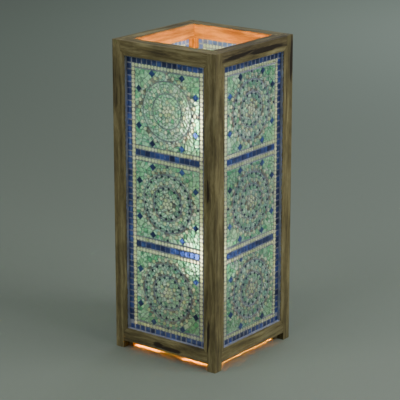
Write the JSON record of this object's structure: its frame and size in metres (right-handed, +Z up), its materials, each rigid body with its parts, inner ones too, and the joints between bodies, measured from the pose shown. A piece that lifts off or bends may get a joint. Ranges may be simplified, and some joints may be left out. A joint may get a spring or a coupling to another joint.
{
  "type": "mosaic glass table lamp",
  "caption": "Tall square table lamp: a hardwood frame with mosaic glass panels on every side and screw-in bulbs inside, open at the top.",
  "frame": {"origin": "on the floor, under the middle of the square plan", "axes": "+Z up; the front panel faces -Y and the cord inlet is in the rear rail, towards +Y; +X is to the right seen from the front"},
  "size_m": [0.24, 0.24, 0.604],
  "materials": {
    "post_wood": "oiled olive-brown hardwood with dark streaks",
    "rail_wood": "oiled olive-brown hardwood, grain along the rail",
    "bead_wood": "oiled hardwood bead, slightly darker",
    "bar_wood": "plain sawn hardwood",
    "mosaic": "glass tesserae in navy, teal and green with cream beads in pale grout",
    "pane_glass": "clear float glass",
    "brass_tube": "plain brass",
    "zinc_steel": "zinc-plated steel",
    "aluminium": "rolled aluminium screw cap",
    "porcelain": "glazed porcelain",
    "black_plastic": "moulded phenolic",
    "white_plastic": "moulded nylon",
    "bulb_glass": "etched bulb glass, lit",
    "filament_mount": "glass foot with the filament wire",
    "lead_pvc": "PVC-covered flex"
  },
  "bodies": {
    "root": {"post_front_left": "post_wood", "post_front_right": "post_wood", "post_rear_right": "post_wood", "post_rear_left": "post_wood", "top_rail_front": "rail_wood", "top_rail_right": "rail_wood", "top_rail_rear": "rail_wood", "top_rail_left": "rail_wood", "bottom_rail_front": "rail_wood", "bottom_rail_right": "rail_wood", "bottom_rail_rear": "rail_wood", "bottom_rail_left": "rail_wood", "bead_front_top": "bead_wood", "bead_front_bottom": "bead_wood", "bead_front_left": "bead_wood", "bead_front_right": "bead_wood", "bead_right_top": "bead_wood", "bead_right_bottom": "bead_wood", "bead_right_left": "bead_wood", "bead_right_right": "bead_wood", "bead_rear_top": "bead_wood", "bead_rear_bottom": "bead_wood", "bead_rear_left": "bead_wood", "bead_rear_right": "bead_wood", "bead_left_top": "bead_wood", "bead_left_bottom": "bead_wood", "bead_left_left": "bead_wood", "bead_left_right": "bead_wood", "mosaic_front": "mosaic", "mosaic_right": "mosaic", "mosaic_rear": "mosaic", "mosaic_left": "mosaic", "glass_front": "pane_glass", "glass_right": "pane_glass", "glass_rear": "pane_glass", "glass_left": "pane_glass", "base_bar": "bar_wood", "block_screw": "zinc_steel", "stem_lower": "brass_tube", "stem_nut_lower": "zinc_steel", "holder_lower_cap": "black_plastic", "holder_lower_insert": "porcelain", "holder_lower_shell": "brass_tube", "holder_lower_sleeve": "black_plastic", "lead_lower": "lead_pvc", "stem_upper": "brass_tube", "stem_nut_upper": "zinc_steel", "holder_upper_cap": "black_plastic", "holder_upper_insert": "porcelain", "holder_upper_shell": "brass_tube", "holder_upper_sleeve": "black_plastic", "lead_upper": "lead_pvc", "terminal_block": "white_plastic", "cord_bush": "black_plastic"},
    "bulb_lower_screw_cap": {"bulb_lower_cap": "aluminium"},
    "bulb_lower_glassware": {"bulb_lower_glass": "bulb_glass", "bulb_lower_mount": "filament_mount"},
    "bulb_upper_screw_cap": {"bulb_upper_cap": "aluminium"},
    "bulb_upper_glassware": {"bulb_upper_glass": "bulb_glass", "bulb_upper_mount": "filament_mount"}
  },
  "joints": [
    {"name": "bulb_lower_rise", "type": "slide", "parent": "root", "child": "bulb_lower_screw_cap", "axis": [0, 0, 1], "range_m": [0, 0.02177]},
    {"name": "bulb_lower_turn", "type": "hinge", "parent": "bulb_lower_screw_cap", "child": "bulb_lower_glassware", "pos_m": [0, 0, 0.112], "axis": [0, 0, 1], "range_deg": [0, 2162]},
    {"name": "bulb_upper_rise", "type": "slide", "parent": "root", "child": "bulb_upper_screw_cap", "axis": [0, 0, 1], "range_m": [0, 0.02177]},
    {"name": "bulb_upper_turn", "type": "hinge", "parent": "bulb_upper_screw_cap", "child": "bulb_upper_glassware", "pos_m": [0, 0, 0.369], "axis": [0, 0, 1], "range_deg": [0, 2162]}
  ],
  "couplings": [
    {"joint": "bulb_lower_turn", "follows": "bulb_lower_rise", "rad_per_m": 1731.4},
    {"joint": "bulb_upper_turn", "follows": "bulb_upper_rise", "rad_per_m": 1731.4}
  ]
}
